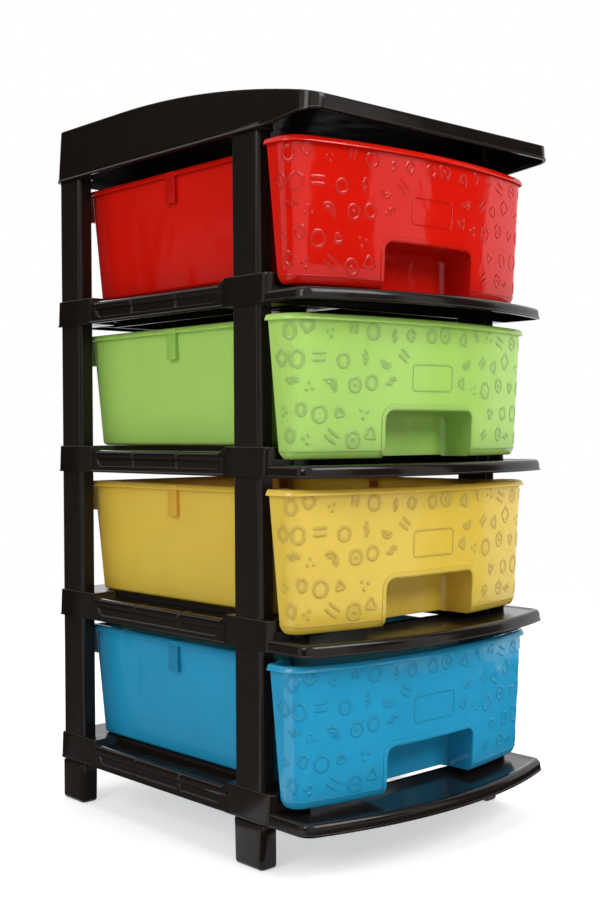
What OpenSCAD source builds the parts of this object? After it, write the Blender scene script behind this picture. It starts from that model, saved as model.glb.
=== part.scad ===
// Four-drawer storage tower, moulded plastic, knock-down frame.
// Millimetres. +X right, +Y to the back, +Z up. Drawers open towards -Y.
// Origin: centre of the footprint, on the floor.
// Tiers are numbered from the bottom, 1 to 4.

/* [Frame] */
// Width over the bottom flange of a shelf
frame_w = 295; // [280:1:330]
// Depth from the rear edge to the middle of the bowed front lip
frame_d = 372; // [362:1:400]
// Height from one shelf to the next
tier_pitch = 136; // [130:1:150]
// How far the middle of the front lip stands in front of its corners
front_bow = 23.3; // [18:0.1:28]
// Radius of the front corners of a shelf
corner_r = 13; // [8:0.5:18]
// Wall thickness of shelves and cover
wall = 1.8; // [1.4:0.1:2.2]

/* [Shelf] */
// Height of sockets, runners and rear beam above the shelf's lower edge
beam_h = 24.2; // [23:0.1:28]
// Height of the front lip
lip_h = 9.8; // [8:0.1:12]
// Height of the front deck strip
deck_h = 8.9; // [6:0.1:10]
// Height of the flange bead round the lower edge
flange_h = 1.8; // [1:0.1:3]
// How far the flange bead stands out of the skirt
flange_out = 0.6; // [0.4:0.1:1.5]
// Width of a side beam with its runner
beam_w = 43.5; // [38:0.5:50]
// Width of the raised runner that the drawer slides on
runner_w = 16; // [10:0.5:20]
// Depth of the rear beam
rear_beam_d = 36; // [28:0.5:44]
// Width of a corner socket
socket_w = 27; // [22:0.5:32]
// How far a front socket reaches in front of its post
socket_ahead = 12; // [8:0.5:16]
// How far a front socket reaches behind its post
socket_behind = 9.5; // [6:0.5:18]
// How far a rear socket reaches in front of its post
rear_socket_ahead = 20; // [12:0.5:26]
// Radius of the outer corners of a socket
socket_r = 3.5; // [2.5:0.1:5]
// Thickness of decks, ledges and runners
deck_t = 2; // [1.5:0.1:2.5]
// Radius of the half-round roll along the side
roll_r = 5; // [3.5:0.1:5.5]
// Height of the centre of the roll
roll_z = 15.2; // [14:0.1:17]
// Width of the grooves between the bays of the roll
bay_gap = 1.4; // [0.8:0.1:3]
// Depth of the panels in the sides
panel_sunk = 0.7; // [0.4:0.1:1]

/* [Posts and feet] */
// Width of a post, across the tower
post_w = 14; // [11:0.1:16]
// Depth of a post, front to back
post_d = 34; // [28:0.5:38]
// Radius of the two outer corners of a post
post_r = 4; // [2:0.1:5]
// Distance from the shelf's flange in to the outer face of a post
post_in = 2.5; // [2.4:0.1:3.5]
// Distance from the rear edge of a shelf to the rear post
rear_post_in = 2.5; // [2.4:0.1:6]
// Distance from the front centre of a shelf back to the front post
front_post_in = 80; // [76:0.5:84]
// Depth of the recess that takes the top end of a post
mouth_h = 5; // [3:0.1:7]
// Length of the pegs that the hollow posts slip over
peg_h = 10; // [6:0.5:14]
// Clearance round posts and pegs
fit_gap = 0.3; // [0.2:0.05:0.4]
// Height of the feet under the lowest shelf
foot_h = 38.5; // [30:0.5:50]
// Height of the neck that shows between foot and shelf
foot_neck = 2; // [1:0.1:7]
// How far a foot stands out of its neck at the side and towards the tower's middle
foot_out = 1.4; // [0.4:0.1:1.8]
// How far a foot reaches past its neck, towards the other side of the tower
foot_in = 0.8; // [0.6:0.1:5]
// How far a foot's end face stands out of its neck
foot_end = 1; // [0.2:0.1:2]
// Slope over its height of the face that looks towards the middle
foot_taper = 1; // [0.5:0.1:2]
// Radius of the two outer corners of a foot
foot_r = 5; // [3:0.1:6]
// Width of the slanted edge round the sole of a foot
foot_edge = 2.5; // [1:0.1:3]
// Thickness of a foot's floor
foot_floor = 4; // [3.5:0.1:8]

/* [Top cover] */
// Height of the cover at the rear
cover_h = 47.8; // [42:0.1:56]
// Radius of the arch of the cover
cover_arch = 1050; // [950:10:1500]
// Distance from the rear edge to where the arch begins
cover_flat = 106; // [80:1:130]
// Distance from the front centre of a shelf back to the cover's front
cover_in = 15.5; // [13:0.5:20]
// Rise of the cover's lower edge at the front
cover_rise = 5.5; // [3:0.1:8]
// Length over which that edge rises
cover_ramp = 55; // [40:1:70]
// Radius of the front corners of the cover
cover_r = 15; // [12:0.5:17]
// Radius of the rear corners of the cover
cover_rear_r = 7; // [5:0.5:10]
// How far the cover's lower bead stands out of the shelf's sides
cover_out = 0.8; // [0.5:0.1:1.5]
// Forward lean of the cover's rear wall over its height
cover_lean = 4; // [0:0.1:5]
// Inward lean of each side wall over the cover's height
cover_side_lean = 1.3; // [0:0.1:2]

/* [Drawers] */
// Gap between the runner and the drawer's floor
slide_gap = 0.3; // [0.2:0.05:0.6]
// Gap between a drawer's rim and the shelf above
rim_gap = 9; // [5:0.5:13]
// Distance from the flange of a shelf in to the side of a drawer's rim
box_side_gap = 0.5; // [0.3:0.1:6]
// Distance from the lip's front centre back to the rim's front centre
box_in = 21.4; // [18:0.1:24]
// Bow of the front of the drawer
box_bow = 15.4; // [12:0.1:18]
// Radius of the front corners at the rim
box_r = 23; // [20:0.5:26]
// Gap between the rim of the front box and the front posts
box_gap = 5.6; // [3:0.1:8]
// Height of the front box's underside above the shelf's lower edge
box_z = 14; // [12.5:0.1:16]
// Gap between the rim of the tub and a post, each side
tub_gap = 2; // [1:0.1:5]
// Distance from the rear edge of a shelf to the rear rim of a drawer
tub_in = 23; // [18:0.5:34]
// Radius of the rear corners at the rim
tub_r = 3.5; // [2:0.5:12]
// Wall thickness of a drawer
drawer_wall = 1.8; // [1.5:0.1:2.4]
// Height of the turned-down rim
rim_h = 5; // [4:0.1:7]
// Overhang of the rim
rim_out = 3.3; // [2.6:0.1:4]
// Thickness of the rim's turned-down edge
rim_t = 1.3; // [1:0.1:1.6]
// Inward slope of the walls from rim to floor
draft = 6; // [3:0.1:8]
// Width of the handle pocket
pocket_w = 108; // [80:1:120]
// Height of the top of the handle pocket over the box's underside
pocket_h = 39.2; // [32:0.1:46]
// Corner radius of the handle pocket
pocket_r = 9; // [6:0.5:12]
// Width of the raised frame above the handle
label_w = 49; // [36:0.5:60]
// Height of the raised frame
label_h = 21.5; // [16:0.5:26]
// Height of the raised frame's lower edge over the box's underside
label_z = 54.4; // [50:0.1:60]
// Radius of the corners inside the raised frame
label_r = 1; // [0.5:0.1:3]
// Width of the raised frame's border
label_border = 2; // [1.5:0.1:4]
// Width of the border round the handle pocket
pocket_border = 3.9; // [2:0.1:6]
// How far borders stand out of the drawer's front
emboss = 0.8; // [0.5:0.1:1]
// Width of the clip tabs under the rim
tab_w = 12.5; // [8:0.5:16]
// Height of the clip tabs
tab_h = 23; // [14:0.5:28]
// How far the side tabs stay back from the edge of the rim
tab_back = 0.4; // [0.2:0.1:2]
// How far the side tabs hang ahead of the middle between the posts
tab_ahead = 7; // [0:0.5:14]
// How far the rear tabs stand out behind the rim
tab_out = 2; // [0.5:0.1:4]
// Distance from the tub's rim in to a rear tab
tab_in = 6.5; // [5.5:0.5:14]

/* [Hidden] */
LEFT = -1;
RIGHT = 1;
FRONT = 0;
REAR = 1;
$fn = 48;
over = 1;                                  // how far cutting bodies run past a face
lap = 0.01;                                // how far the parts of one outline overlap
sharp = 0.2;                               // radius of an inner corner that looks sharp
hw = frame_w / 2;
rear_y = frame_d / 2;
lip_y = -frame_d / 2;
skirt_x = hw - flange_out;                 // outer face of the skirt
post_out = hw - post_in;                   // outer face of the posts
post_mid = post_out - post_w / 2;
post_bore = wall;                          // wall of the hollow posts
post_r_in = 1.5;                           // radius of a post's two inner corners
foot_top = foot_h - foot_neck;
rear_post_y = rear_y - rear_post_in - post_d / 2;
front_post_y = lip_y + front_post_in + post_d / 2;
socket_front_y = front_post_y - post_d / 2 - socket_ahead;
socket_back_y = front_post_y + post_d / 2 + socket_behind;
rear_socket_y = rear_post_y - post_d / 2 - rear_socket_ahead;
socket_x = skirt_x - socket_w;             // inner face of a socket
beam_x = hw - beam_w;                      // inner face of a side beam
rear_beam_y = rear_y - rear_beam_d;
post_len = tier_pitch - beam_h + mouth_h;
root = 0.5;                                // how far a peg is rooted in the deck behind it
roll_in = 0.4;                             // how far the roll stays back from the skirt
ledge_z = roll_z + roll_r - 0.3;           // the ledge lies just under the top of the roll
roll_groove = 0.9;                         // depth of the grooves between the roll's bays
bays = 3;                                  // bays of the roll, each over a panel
panel_r = 2;                               // corners of a panel
panel_side = 4;                            // from a panel to the end of its bay
panel_low = flange_h + 1.4;                // lower edge of a panel
panel_high = roll_z - roll_r + 0.6;        // upper edge of a panel
rim_z = tier_pitch - rim_gap;
tub_z = beam_h + slide_gap;
box_w = frame_w - 2 * box_side_gap;
box_front = lip_y + box_in;
box_rear = front_post_y - post_d / 2 - box_gap;
corner_step = 0.05;                        // how far a shelf's corner arcs stand out of its bow
tub_x = post_out - post_w - tub_gap;
tub_rear = rear_y - tub_in;
wall_in = rim_out + draft;                 // inset of the walls at the floor
pocket_gap = 0.3;                          // from the pocket's rear wall to the box's
pocket_back = box_rear - wall_in - drawer_wall - pocket_gap;
tub_lap = 25;                              // how far the tub's walls run into the front box
tub_open = 3;                              // how much further its hollow runs
corner_grow = 0.25;                        // growth of the rear corners' radius with the inset
rim_top = 1.6;                             // thickness of the rim's upper side
roof = 2;                                  // thickness of the cover's top
post_colour = [0.09, 0.085, 0.08];
frame_colour = [0.075, 0.07, 0.065];

// Radius of the arc with this half chord and rise
function arc_r(c, b) = (c * c + b * b) / (2 * b);

// Outline of a shelf, drawn inwards by i: straight sides and back, round front
// corners and a bowed front, which crosses the corner arcs just before it would
// touch them
module shelf_plan(i = 0) {
  c = hw - corner_r;
  r1 = arc_r(c, front_bow);
  bow_r = r1 + corner_r;
  bow_y = lip_y + bow_r;
  a = asin(c / r1);
  corner_y = lip_y + corner_r + front_bow - corner_step;
  tangent_x = c + (corner_r - i) * sin(a);
  translate([-hw + i, corner_y]) square([2 * (hw - i), rear_y - i - corner_y]);
  for (s = [-1, 1]) translate([s * c, corner_y]) circle(r = corner_r - i);
  intersection() {
    translate([0, bow_y]) circle(r = bow_r - i, $fn = 720);
    translate([-tangent_x, lip_y]) square([2 * tangent_x, corner_y - lip_y]);
  }
}

// Ring between two insets of the shelf outline
module shelf_ring(i0, i1) {
  difference() {
    shelf_plan(i0);
    shelf_plan(i1);
  }
}

// Rectangle from (x0, y0) to (x1, y1) with its own radius on the +X and -X corners
module rounded(x0, y0, x1, y1, r_out, r_in) {
  translate([x0 + r_in, y0]) square([x1 - x0 - r_in - r_out, y1 - y0]);
  translate([x0, y0 + r_in]) square([r_in + lap, y1 - y0 - 2 * r_in]);
  translate([x1 - r_out - lap, y0 + r_out]) square([r_out + lap, y1 - y0 - 2 * r_out]);
  for (y = [y0 + r_in, y1 - r_in]) translate([x0 + r_in, y]) circle(r = r_in, $fn = 24);
  for (y = [y0 + r_out, y1 - r_out]) translate([x1 - r_out, y]) circle(r = r_out, $fn = 32);
}

// Cross-section of a post about its own centre, outer face to +X, grown by g
module post_section(g = 0) {
  rounded(-post_w / 2 - g, -post_d / 2 - g, post_w / 2 + g, post_d / 2 + g,
    max(post_r + g, sharp), max(post_r_in + g, sharp));
}

// Puts its children at a post's place, outer face outwards
module at_post(side, place) {
  y = place == FRONT ? front_post_y : rear_post_y;
  mirror([side == LEFT ? 1 : 0, 0, 0]) translate([post_mid, y, 0]) children();
}

module all_posts() {
  for (side = [LEFT, RIGHT], place = [FRONT, REAR]) at_post(side, place) children();
}

module both_sides() {
  children();
  mirror([1, 0, 0]) children();
}

// ---- posts and feet ----

module post(tier, side, place) {
  translate([0, 0, foot_h + (tier - 1) * tier_pitch + beam_h]) at_post(side, place)
    linear_extrude(post_len) difference() {
      post_section(0);
      post_section(-post_bore);
    }
}

// View of a foot's body from v0 to v1 at its top: the face at v1 slopes by t, and
// the edges of the sole are cut at a slant
module foot_view(v0, v1, t) {
  e = foot_edge;
  polygon([[v0 + e, 0], [v1 - t - e, 0], [v1 - t, e], [v1, foot_top], [v0, foot_top], [v0, e]]);
}

// A foot: hollow neck in the mouth of the lowest shelf, wider body below, which
// reaches furthest towards the middle of the tower
module foot(side, place) {
  x0 = -post_w / 2 - foot_in;
  x1 = post_w / 2 + foot_out;
  y0 = -post_d / 2 - foot_end;
  y1 = post_d / 2 + foot_out;
  at_post(side, place) mirror([0, place == REAR ? 1 : 0, 0]) difference() {
    union() {
      translate([0, 0, foot_top - over]) linear_extrude(foot_neck + mouth_h + over) post_section(0);
      intersection() {
        linear_extrude(foot_top) rounded(x0, y0, x1, y1, foot_r, post_r_in);
        rotate([90, 0, 0]) translate([0, 0, -y1 - over]) linear_extrude(y1 - y0 + 2 * over)
          foot_view(x0, x1, 0);
        rotate([90, 0, 90]) translate([0, 0, x0 - over]) linear_extrude(x1 - x0 + 2 * over)
          foot_view(y0, y1, foot_taper);
      }
    }
    translate([0, 0, foot_floor]) linear_extrude(foot_h + mouth_h) post_section(-post_bore);
  }
}

// ---- shelf ----

// Recess for the top of a post from below, with the peg that enters the post
module mouth_cut() {
  translate([0, 0, -over]) linear_extrude(mouth_h + over) post_section(fit_gap);
}

module mouth_peg() {
  translate([0, 0, mouth_h - peg_h]) linear_extrude(peg_h + root)
    post_section(-post_bore - fit_gap);
}

module shelf(tier) {
  translate([0, 0, foot_h + (tier - 1) * tier_pitch]) {
    difference() {
      union() {
        linear_extrude(flange_h) shelf_ring(0, flange_out + wall);
        linear_extrude(lip_h) shelf_ring(flange_out, flange_out + wall);
        front_strip();
        rear_beam();
        both_sides() side_beam();
        both_sides() socket(socket_front_y, socket_back_y);
        both_sides() socket(rear_socket_y, rear_y - flange_out);
        all_posts() linear_extrude(beam_h) post_section(wall);
      }
      all_posts() mouth_cut();
    }
    all_posts() mouth_peg();
    all_posts() translate([0, 0, beam_h - root]) linear_extrude(peg_h + root)
      post_section(-post_bore - fit_gap);
  }
}

// Thin deck behind the front lip, with a rib along its rear edge
module front_strip() {
  intersection() {
    linear_extrude(deck_h) shelf_plan(flange_out + wall / 2);
    union() {
      translate([-hw, lip_y, deck_h - deck_t]) cube([2 * hw, socket_front_y + wall - lip_y, deck_t]);
      translate([-hw, socket_front_y, 0]) cube([2 * hw, wall, deck_h]);
    }
  }
}

// Inverted channel across the back
module rear_beam() {
  w = 2 * (socket_x + wall);
  translate([-w / 2, rear_beam_y, beam_h - deck_t])
    cube([w, rear_y - flange_out - rear_beam_y, deck_t]);
  for (y = [rear_beam_y, rear_y - flange_out - wall])
    translate([-w / 2, y, 0]) cube([w, wall, beam_h]);
}

// Side beam: outer wall with recessed panels, half-round roll in three bays,
// a ledge and the raised runner
module side_beam() {
  y0 = socket_back_y - wall;
  y1 = rear_socket_y + wall;
  len = y1 - y0;
  roll_x = skirt_x - roll_in - roll_r;
  bay = len / bays;
  runner_len = rear_beam_y + wall - socket_front_y;
  difference() {
    union() {
      translate([skirt_x - wall, y0, 0]) cube([wall, len, roll_z]);
      translate([beam_x, y0, ledge_z - deck_t]) cube([roll_x - beam_x, len, deck_t]);
      translate([roll_x, y0, roll_z]) rotate([-90, 0, 0]) cylinder(r = roll_r - roll_groove, h = len);
      for (i = [0:bays - 1]) translate([roll_x, y0 + i * bay + bay_gap / 2, roll_z])
        rotate([-90, 0, 0]) cylinder(r = roll_r, h = bay - bay_gap);
    }
    for (i = [0:bays - 1]) translate([skirt_x - panel_sunk, y0 + (i + 0.5) * bay, 0])
      rotate([90, 0, 90]) linear_extrude(over + panel_sunk)
        rounded(-bay / 2 + panel_side, panel_low, bay / 2 - panel_side, panel_high, panel_r, panel_r);
  }
  translate([beam_x, socket_front_y, beam_h - deck_t]) cube([runner_w, runner_len, deck_t]);
  translate([beam_x, socket_front_y, 0]) cube([wall, runner_len, beam_h]);
  translate([beam_x + runner_w - wall, socket_front_y, ledge_z - deck_t])
    cube([wall, runner_len, beam_h - ledge_z + deck_t]);
  // front end wall of the runner
  translate([beam_x, socket_front_y, 0]) cube([runner_w, wall, beam_h]);
}

// Hollow socket box from y0 to y1, open underneath, with round outer corners
module socket(y0, y1) {
  x0 = min(socket_x, beam_x + runner_w);
  difference() {
    linear_extrude(beam_h) rounded(x0, y0, skirt_x, y1, socket_r, sharp);
    translate([0, 0, -over]) linear_extrude(beam_h - deck_t + over)
      rounded(x0 + wall, y0 + wall, skirt_x - wall, y1 - wall, socket_r - wall, sharp);
  }
}

// ---- top cover ----

// Outline of the cover, drawn inwards by i
module cover_plan(i = 0) {
  x = hw + cover_out - i;
  y0 = lip_y + cover_in + i;
  y1 = rear_y - i;
  r = cover_r - i;
  rr = cover_rear_r - i;
  translate([-x + r, y0]) square([2 * (x - r), y1 - y0 - rr]);
  translate([-x, y0 + r]) square([2 * x, y1 - y0 - r - rr]);
  translate([-x + rr, y1 - rr - over]) square([2 * (x - rr), rr + over]);
  for (s = [-1, 1]) {
    translate([s * (x - r), y0 + r]) circle(r = r);
    translate([s * (x - rr), y1 - rr]) circle(r = rr);
  }
}

// Side view of the cover: flat at the rear, then an arch. Its top is lowered by t,
// its lower edge lifted by u, its leaning rear edge moved forward by i
module cover_side(t = 0, u = 0, i = 0) {
  y0 = lip_y + cover_in - over;
  y1 = rear_y + over;
  arch_y = rear_y - cover_flat;
  ramp_y = y0 + over + cover_ramp;
  lean_y = rear_y - i - cover_lean;
  difference() {
    union() {
      translate([arch_y, u]) square([y1 - arch_y, cover_h - t - u]);
      intersection() {
        translate([arch_y, cover_h - cover_arch]) circle(r = cover_arch - t, $fn = 1440);
        translate([y0, u]) square([arch_y - y0 + lap, cover_h - u]);
      }
    }
    polygon([[ramp_y, u], [y0, u + cover_rise * (ramp_y - y0) / cover_ramp],
      [y0, u - over], [ramp_y, u - over]]);
    polygon([[rear_y - i, 0], [lean_y, cover_h], [lean_y, cover_h + over],
      [y1 + over, cover_h + over], [y1 + over, 0]]);
  }
}

// Front view of the cover: sides that lean inwards, drawn inwards by i
module cover_front(i = 0) {
  x = hw + cover_out - i;
  polygon([[-x, -over], [x, -over], [x, 0], [x - cover_side_lean, cover_h],
    [x - cover_side_lean, cover_h + over], [-x + cover_side_lean, cover_h + over],
    [-x + cover_side_lean, cover_h], [-x, 0]]);
}

module across(w) {
  translate([-w / 2, 0, 0]) rotate([90, 0, 90]) linear_extrude(w) children();
}

// Block of the cover's outer form, drawn inwards by i, its top lowered by t
module cover_solid(i, t) {
  intersection() {
    linear_extrude(cover_h + over) cover_plan(i);
    across(frame_w + 2 * (cover_out + over)) cover_side(t, 0, i);
    facing(lip_y - over, rear_y + over) cover_front(i);
  }
}

// Bead along the lower edge
module cover_bead() {
  intersection() {
    linear_extrude(cover_h) difference() {
      cover_plan(0);
      cover_plan(flange_out + wall);
    }
    across(frame_w + 2 * (cover_out + over)) difference() {
      cover_side(0, 0);
      cover_side(0, flange_h);
    }
  }
}

module cover() {
  translate([0, 0, foot_h + 4 * tier_pitch]) {
    difference() {
      union() {
        difference() {
          cover_solid(flange_out, 0);
          cover_solid(flange_out + wall, roof);
          translate([0, 0, -over]) linear_extrude(2 * over + cover_rise)
            cover_plan(flange_out + wall);
        }
        cover_bead();
        intersection() {
          all_posts() linear_extrude(cover_h) post_section(wall);
          cover_solid(flange_out, roof / 4);
        }
      }
      all_posts() mouth_cut();
    }
    all_posts() mouth_peg();
  }
}

// ---- drawers ----

// Outline of the front box, drawn inwards by i: round front corners, bowed front
function box_pts(i) =
  let (r = box_r - i, c = box_w / 2 - box_r, r1 = arc_r(c, box_bow), R = r1 + box_r - i,
    yc = box_front + box_r + box_bow, yb = box_front + r1 + box_r, a = asin(c / r1),
    x = box_w / 2 - i, yr = box_rear - i, n = 8, m = 12)
  concat(
    [[-x, yr]],
    [for (j = [0:n]) let (t = 180 + (90 - a) * j / n) [-c + r * cos(t), yc + r * sin(t)]],
    [for (j = [1:2 * m - 1]) let (t = 270 - a + a * j / m) [R * cos(t), yb + R * sin(t)]],
    [for (j = [0:n]) let (t = 270 + a + (90 - a) * j / n) [c + r * cos(t), yc + r * sin(t)]],
    [[x, yr]]);

// Outline of the tub behind the front box, drawn inwards by i, from y0 back: its
// rear corners get rounder towards the floor
function tub_pts(i, y0) =
  let (r = tub_r + corner_grow * i, x = tub_x - i, y1 = tub_rear - i, n = 8)
  concat(
    [[-x, y0], [x, y0]],
    [for (j = [0:n]) let (t = 90 * j / n) [x - r + r * cos(t), y1 - r + r * sin(t)]],
    [for (j = [0:n]) let (t = 90 + 90 * j / n) [-x + r + r * cos(t), y1 - r + r * sin(t)]]);

// Tapered box between two outlines
module box_hull(i_top, i_low, z_low, z_top) {
  hull() {
    translate([0, 0, z_top - lap]) linear_extrude(lap) polygon(box_pts(i_top));
    translate([0, 0, z_low]) linear_extrude(lap) polygon(box_pts(i_low));
  }
}

module tub_hull(i_top, i_low, z_low, z_top, y0) {
  hull() {
    translate([0, 0, z_top - lap]) linear_extrude(lap) polygon(tub_pts(i_top, y0));
    translate([0, 0, z_low]) linear_extrude(lap) polygon(tub_pts(i_low, y0));
  }
}

// Front view of the handle pocket, grown by g
module pocket_shape(g = 0) {
  x = pocket_w / 2 + g;
  z = box_z + pocket_h + g;
  r = pocket_r + g;
  translate([-x, 0]) square([2 * x, z - r]);
  translate([-x + r, 0]) square([2 * (x - r), z]);
  for (s = [-1, 1]) translate([s * (x - r), z - r]) circle(r = r, $fn = 32);
}

// Front view of the raised frame, drawn inwards by i
module label_shape(i = 0) {
  z = box_z + label_z;
  r = label_r + label_border - i;
  rounded(-label_w / 2 + i, z + i, label_w / 2 - i, z + label_h - i, r, r);
}

// Extrudes a front view along Y from y0 to y1
module facing(y0, y1) {
  translate([0, y1, 0]) rotate([90, 0, 0]) linear_extrude(y1 - y0) children();
}

// Turned-down rim round the whole drawer
module rim() {
  difference() {
    union() {
      translate([0, 0, rim_z - rim_h]) linear_extrude(rim_h) polygon(box_pts(0));
      translate([0, 0, rim_z - rim_h]) linear_extrude(rim_h) polygon(tub_pts(0, box_rear - over));
    }
    translate([0, 0, rim_z - rim_h - over]) linear_extrude(rim_h - rim_top + over)
      union() {
        polygon(box_pts(rim_t));
        polygon(tub_pts(rim_t, box_rear - over));
      }
  }
}

// Clip tabs under the rim: one on each side between the posts, and two at the back,
// which stand out behind the rim
module tabs() {
  y = (front_post_y + rear_post_y) / 2 - tab_ahead;
  z = rim_z - rim_h - tab_h;
  both_sides() translate([tub_x - wall_in, y - tab_w / 2, z])
    cube([wall_in - tab_back, tab_w, tab_h + over]);
  both_sides() translate([tub_x - tab_in - tab_w, tub_rear - wall_in, z])
    cube([tab_w, wall_in + tab_out, tab_h + over]);
}

module drawer(tier) {
  i_low = wall_in;
  w = drawer_wall;
  top = rim_z;
  front_y = box_rear - tub_lap;
  translate([0, 0, foot_h + (tier - 1) * tier_pitch]) difference() {
    union() {
      difference() {
        union() {
          box_hull(rim_out, i_low, box_z, top);
          tub_hull(rim_out, i_low, tub_z, top, front_y);
          intersection() {
            box_hull(rim_out - emboss, i_low - emboss, box_z, top);
            facing(lip_y, pocket_back) union() {
              difference() {
                pocket_shape(pocket_border);
                pocket_shape(0);
              }
              difference() {
                label_shape(0);
                label_shape(label_border);
              }
            }
          }
          rim();
          tabs();
        }
        box_hull(rim_out + w, i_low + w, box_z + w, top + over);
        tub_hull(rim_out + w, i_low + w, tub_z + w, top + over, front_y - tub_open);
      }
      intersection() {
        box_hull(rim_out, i_low, box_z, top);
        facing(lip_y, pocket_back + w) pocket_shape(w);
      }
    }
    facing(lip_y, pocket_back) pocket_shape(0);
  }
}

module top_cover() { color(frame_colour) cover(); }
module shelf_1() { color(frame_colour) shelf(1); }
module shelf_2() { color(frame_colour) shelf(2); }
module shelf_3() { color(frame_colour) shelf(3); }
module shelf_4() { color(frame_colour) shelf(4); }
module post_1_front_left() { color(post_colour) post(1, LEFT, FRONT); }
module post_1_front_right() { color(post_colour) post(1, RIGHT, FRONT); }
module post_1_rear_left() { color(post_colour) post(1, LEFT, REAR); }
module post_1_rear_right() { color(post_colour) post(1, RIGHT, REAR); }
module post_2_front_left() { color(post_colour) post(2, LEFT, FRONT); }
module post_2_front_right() { color(post_colour) post(2, RIGHT, FRONT); }
module post_2_rear_left() { color(post_colour) post(2, LEFT, REAR); }
module post_2_rear_right() { color(post_colour) post(2, RIGHT, REAR); }
module post_3_front_left() { color(post_colour) post(3, LEFT, FRONT); }
module post_3_front_right() { color(post_colour) post(3, RIGHT, FRONT); }
module post_3_rear_left() { color(post_colour) post(3, LEFT, REAR); }
module post_3_rear_right() { color(post_colour) post(3, RIGHT, REAR); }
module post_4_front_left() { color(post_colour) post(4, LEFT, FRONT); }
module post_4_front_right() { color(post_colour) post(4, RIGHT, FRONT); }
module post_4_rear_left() { color(post_colour) post(4, LEFT, REAR); }
module post_4_rear_right() { color(post_colour) post(4, RIGHT, REAR); }
module foot_front_left() { color(post_colour) foot(LEFT, FRONT); }
module foot_front_right() { color(post_colour) foot(RIGHT, FRONT); }
module foot_rear_left() { color(post_colour) foot(LEFT, REAR); }
module foot_rear_right() { color(post_colour) foot(RIGHT, REAR); }
module drawer_1_blue() { color([0.20, 0.60, 0.78]) drawer(1); }
module drawer_2_yellow() { color([0.90, 0.75, 0.30]) drawer(2); }
module drawer_3_green() { color([0.62, 0.84, 0.40]) drawer(3); }
module drawer_4_red() { color([0.80, 0.12, 0.08]) drawer(4); }

top_cover();
shelf_1();
shelf_2();
shelf_3();
shelf_4();
post_1_front_left();
post_1_front_right();
post_1_rear_left();
post_1_rear_right();
post_2_front_left();
post_2_front_right();
post_2_rear_left();
post_2_rear_right();
post_3_front_left();
post_3_front_right();
post_3_rear_left();
post_3_rear_right();
post_4_front_left();
post_4_front_right();
post_4_rear_left();
post_4_rear_right();
foot_front_left();
foot_front_right();
foot_rear_left();
foot_rear_right();
drawer_1_blue();
drawer_2_yellow();
drawer_3_green();
drawer_4_red();
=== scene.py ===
# Looks of the four-drawer plastic tower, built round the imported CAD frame.
# Lengths are in millimetres until a mesh is finished, and in metres in the
# materials and the studio. +Y is the back, and a tier's own heights count from
# the lower edge of its shelf.
import math
import random

import bpy
import bmesh
from mathutils import Matrix, Vector

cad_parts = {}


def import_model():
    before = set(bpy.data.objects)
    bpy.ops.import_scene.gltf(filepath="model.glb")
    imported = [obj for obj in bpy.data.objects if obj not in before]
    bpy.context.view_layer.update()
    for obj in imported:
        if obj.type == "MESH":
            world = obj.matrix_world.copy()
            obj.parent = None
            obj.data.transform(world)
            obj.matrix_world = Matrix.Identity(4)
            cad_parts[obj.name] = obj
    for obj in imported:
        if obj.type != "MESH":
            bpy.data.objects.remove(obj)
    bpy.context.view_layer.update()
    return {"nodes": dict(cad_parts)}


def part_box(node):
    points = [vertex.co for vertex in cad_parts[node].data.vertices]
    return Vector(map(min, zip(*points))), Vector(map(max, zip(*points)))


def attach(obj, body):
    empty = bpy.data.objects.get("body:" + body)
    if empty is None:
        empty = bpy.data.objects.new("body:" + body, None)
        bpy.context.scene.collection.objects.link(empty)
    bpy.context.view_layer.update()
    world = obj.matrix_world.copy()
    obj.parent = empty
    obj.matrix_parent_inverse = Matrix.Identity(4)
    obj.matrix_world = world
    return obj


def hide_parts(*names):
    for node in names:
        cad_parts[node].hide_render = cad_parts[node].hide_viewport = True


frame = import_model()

MM = 0.001
TIERS = (1, 2, 3, 4)
SIDES = (-1, 1)


def cad_corners(node):
    """Lowest and highest corner of a CAD node, in millimetres."""
    low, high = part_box(node)
    return low / MM, high / MM


# ---- sizes read from the frame ----

shelf_low, shelf_high = cad_corners("shelf_1")
PEG = 5.0  # how far pegs reach below a shelf
FOOT_H = shelf_low.z + PEG
PITCH = cad_corners("shelf_2")[0].z - shelf_low.z
HALF_W = shelf_high.x
REAR = shelf_high.y
LIP = shelf_low.y
drawer_low, drawer_high = cad_corners("drawer_1_blue")
BOX_HALF = drawer_high.x
BOX_FRONT = drawer_low.y
REAR_TAB_OUT = 2.0  # the rear tabs stand out behind the rim
TUB_REAR = drawer_high.y - REAR_TAB_OUT
BOX_Z = drawer_low.z - FOOT_H
RIM_Z = drawer_high.z - FOOT_H
cover_low, cover_high = cad_corners("top_cover")
COVER_HALF = cover_high.x
COVER_FRONT = cover_low.y
COVER_REAR = cover_high.y
COVER_Z = FOOT_H + len(TIERS) * PITCH
COVER_H = cover_high.z - COVER_Z
post_low, post_high = cad_corners("post_1_front_right")
rear_post_low, rear_post_high = cad_corners("post_1_rear_right")
BEAM_H = post_low.z - FOOT_H  # top of sockets, runners and rear beam
POST_X = (post_low.x + post_high.x) / 2
POST_HALF_W = (post_high.x - post_low.x) / 2
POST_HALF_D = (post_high.y - post_low.y) / 2
FRONT_POST_Y = (post_low.y + post_high.y) / 2
REAR_POST_Y = (rear_post_low.y + rear_post_high.y) / 2

# ---- sizes of the moulded forms ----

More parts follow.
